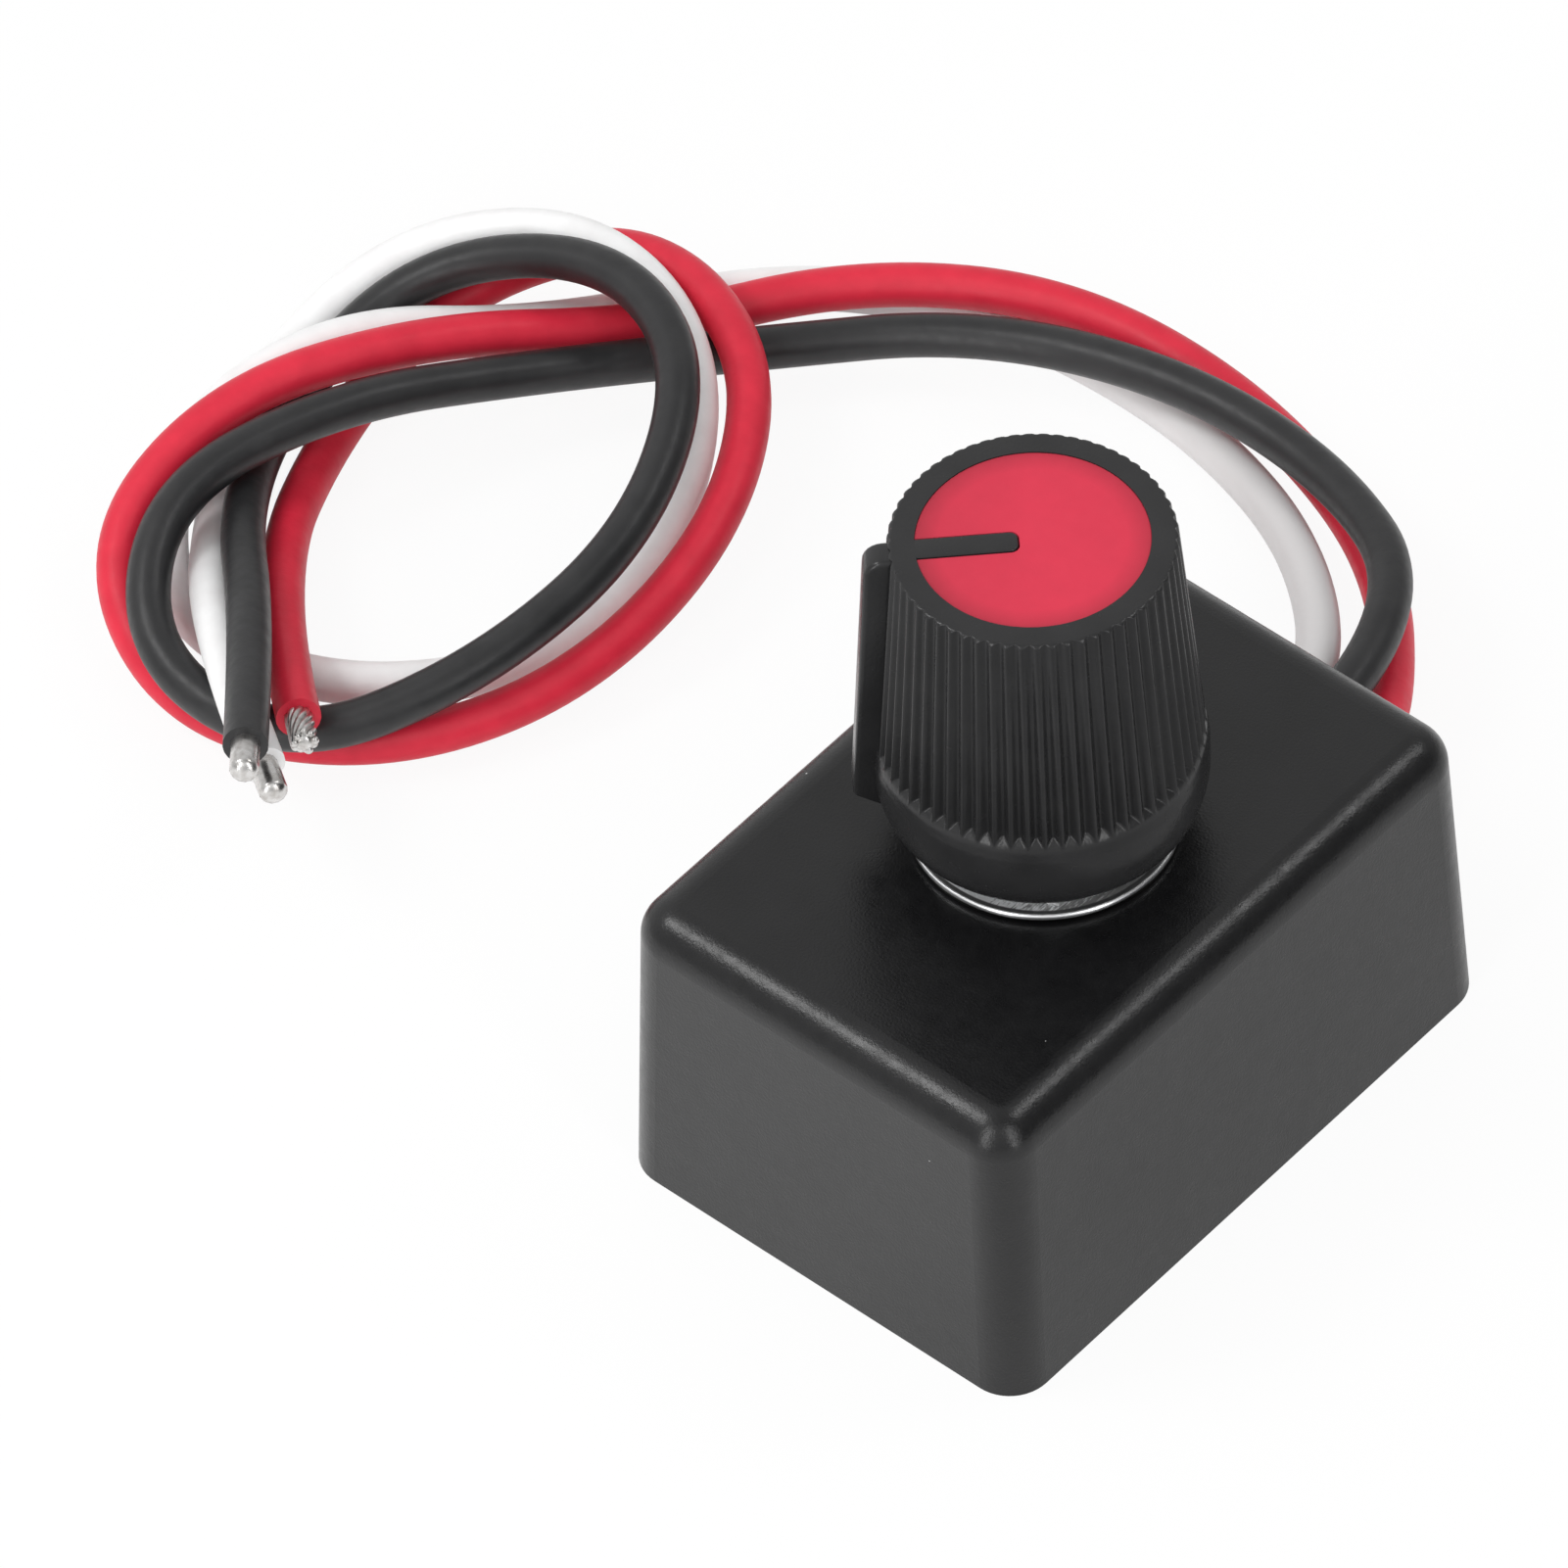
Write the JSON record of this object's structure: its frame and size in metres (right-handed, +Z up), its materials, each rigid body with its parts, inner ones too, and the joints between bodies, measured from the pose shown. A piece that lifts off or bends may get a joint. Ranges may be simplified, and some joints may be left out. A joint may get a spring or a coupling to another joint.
{
  "type": "rotary led dimmer",
  "caption": "Small black in-line LED dimmer box with a fluted rotary knob on top and three loose silicone leads tied in an overhand knot.",
  "frame": {"origin": "middle of the box's underside, on the table", "axes": "+Z up along the knob's axis, +Y along the box towards the wall that the leads leave, +X across the box"},
  "size_m": [0.0682, 0.0524, 0.0354],
  "materials": {
    "housing_plastic": "fine spark-eroded satin",
    "knob_plastic": "satin, slightly glossy on the skirt",
    "cap_plastic": "matte",
    "red_silicone": "semi-matte",
    "black_silicone": "semi-matte",
    "white_silicone": "semi-matte",
    "tinned_copper": "tinned strands",
    "plated_steel": "bright zinc plate",
    "plated_zinc": "nickel-plated casting",
    "shaft_metal": "turned",
    "spring_brass": "plain",
    "rotor_plastic": "moulded",
    "wafer_phenolic": "laminate",
    "track_carbon": "printed carbon",
    "board_laminate": "solder mask",
    "component_epoxy": "moulded epoxy",
    "capacitor_ceramic": "fired ceramic",
    "tin_solder": "reflowed tin"
  },
  "bodies": {
    "housing": {"housing_shell": "housing_plastic", "bottom_cover": "housing_plastic", "circuit_board": "board_laminate", "driver_mosfet": "component_epoxy", "timer_chip": "component_epoxy", "flyback_diode": "component_epoxy", "chip_capacitors": "capacitor_ceramic", "chip_resistors": "component_epoxy", "solder_joints": "tin_solder", "pot_bushing": "plated_zinc", "pot_wafer": "wafer_phenolic", "pot_tracks": "track_carbon", "pot_terminals": "spring_brass", "pot_case": "plated_steel", "pot_washer": "plated_steel", "pot_nut": "plated_steel", "red_wire": "red_silicone", "black_wire": "black_silicone", "white_wire": "white_silicone", "red_conductor": "tinned_copper", "black_conductor": "tinned_copper", "white_conductor": "tinned_copper"},
    "knob": {"knob": "knob_plastic", "knob_cap": "cap_plastic", "pot_shaft": "shaft_metal", "pot_rotor": "rotor_plastic", "pot_wiper": "spring_brass"}
  },
  "joints": [
    {"name": "knob_turn", "type": "hinge", "parent": "housing", "child": "knob", "pos_m": [0, 0, 0.0184], "axis": [0, 0, -1], "range_deg": [0, 270]}
  ]
}
